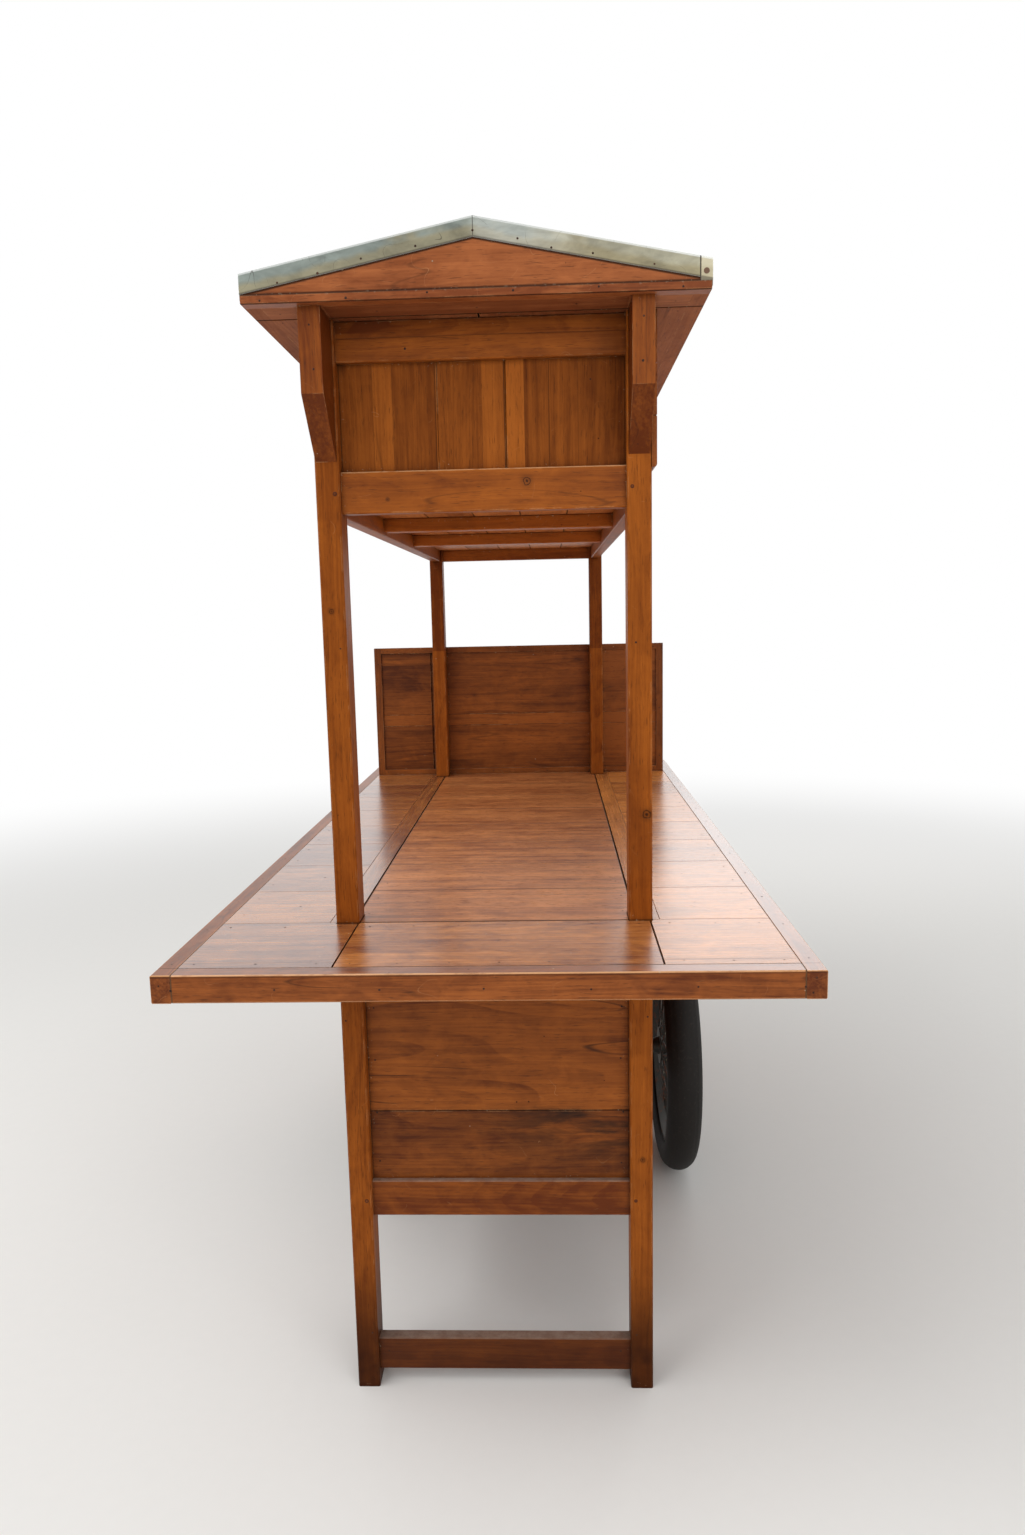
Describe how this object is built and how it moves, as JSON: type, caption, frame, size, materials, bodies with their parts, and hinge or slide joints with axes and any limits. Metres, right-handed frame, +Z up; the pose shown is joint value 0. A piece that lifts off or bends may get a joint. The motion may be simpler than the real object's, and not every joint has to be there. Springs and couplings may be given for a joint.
{
  "type": "wooden food cart",
  "caption": "Wooden street-food pushcart with a wide counter, a cupboard with hinged doors below, an overhead shelf box, a low metal-covered gable roof and wire wheels.",
  "frame": {"origin": "on the ground, under the middle of the counter", "axes": "+X to the right of someone facing the cart's front end, +Y along the cart from the front end to the rear end, +Z up"},
  "size_m": [0.96, 2.07, 1.906],
  "materials": {
    "frame_wood": "varnished teak-brown boards, satin",
    "counter_wood": "varnished boards, satin, slightly worn",
    "board_wood": "varnished boards, satin",
    "screen_wood": "darker varnished boards, satin",
    "roof_wood": "varnished boards, satin",
    "knob_wood": "varnished, turned",
    "block_wood": "varnished, dirty",
    "zinc_sheet": "weathered zinc-coated sheet with dull greenish and yellowish patches",
    "hinge_steel": "dull, slightly rusty",
    "axle_steel": "dull, slightly rusty",
    "tyre_rubber": "worn black rubber, nearly smooth tread, dusty",
    "rim_steel": "dulled plating",
    "hub_steel": "cast, dull",
    "spoke_steel": "dull plated wire"
  },
  "bodies": {
    "cart": {"axle": "axle_steel", "axle_blocks": "block_wood", "base_rails_end": "frame_wood", "base_rails_side": "frame_wood", "brackets": "roof_wood", "counter_arms": "counter_wood", "counter_bearers": "counter_wood", "counter_edges_end": "counter_wood", "counter_edges_side": "counter_wood", "counter_ends": "counter_wood", "counter_rails_end": "frame_wood", "counter_rails_side": "frame_wood", "counter_slab": "counter_wood", "counter_wings": "counter_wood", "cupboard_boards_end": "board_wood", "cupboard_boards_side": "board_wood", "cupboard_floor": "board_wood", "door_stiles": "board_wood", "eave_boards": "roof_wood", "gable_trims": "roof_wood", "gables": "roof_wood", "hinge_post_leaves": "hinge_steel", "posts_front": "frame_wood", "posts_rear": "frame_wood", "roof_sheet": "zinc_sheet", "screen_boards": "screen_wood", "screen_frame": "screen_wood", "shelf_boards": "board_wood", "shelf_end_boards": "board_wood", "shelf_joists": "frame_wood", "shelf_rails_end": "frame_wood", "shelf_rails_side": "frame_wood", "shelf_side_board": "board_wood", "soffit_boards": "roof_wood", "stretchers": "frame_wood", "upper_rails_end": "frame_wood", "upper_rails_side": "frame_wood"},
    "wheel_left": {"hub_left": "hub_steel", "rim_left": "rim_steel", "spokes_left": "spoke_steel", "tyre_left": "tyre_rubber"},
    "wheel_right": {"hub_right": "hub_steel", "rim_right": "rim_steel", "spokes_right": "spoke_steel", "tyre_right": "tyre_rubber"},
    "door_front_leaf": {"door_front": "board_wood", "door_front_knob": "knob_wood", "door_front_leaves": "hinge_steel"},
    "door_rear_leaf": {"door_rear": "board_wood", "door_rear_knob": "knob_wood", "door_rear_leaves": "hinge_steel"}
  },
  "joints": [
    {"name": "wheel_left_spin", "type": "hinge", "parent": "cart", "child": "wheel_left", "pos_m": [-0.339, 0, 0.288], "axis": [1, 0, 0], "continuous": true},
    {"name": "wheel_right_spin", "type": "hinge", "parent": "cart", "child": "wheel_right", "pos_m": [0.385, 0, 0.288], "axis": [1, 0, 0], "continuous": true},
    {"name": "door_front_swing", "type": "hinge", "parent": "cart", "child": "door_front_leaf", "pos_m": [-0.2645, -0.7405, 0.5595], "axis": [0, 0, 1], "range_deg": [0, 100]},
    {"name": "door_rear_swing", "type": "hinge", "parent": "cart", "child": "door_rear_leaf", "pos_m": [-0.2645, 0.7405, 0.5595], "axis": [0, 0, -1], "range_deg": [0, 100]}
  ]
}
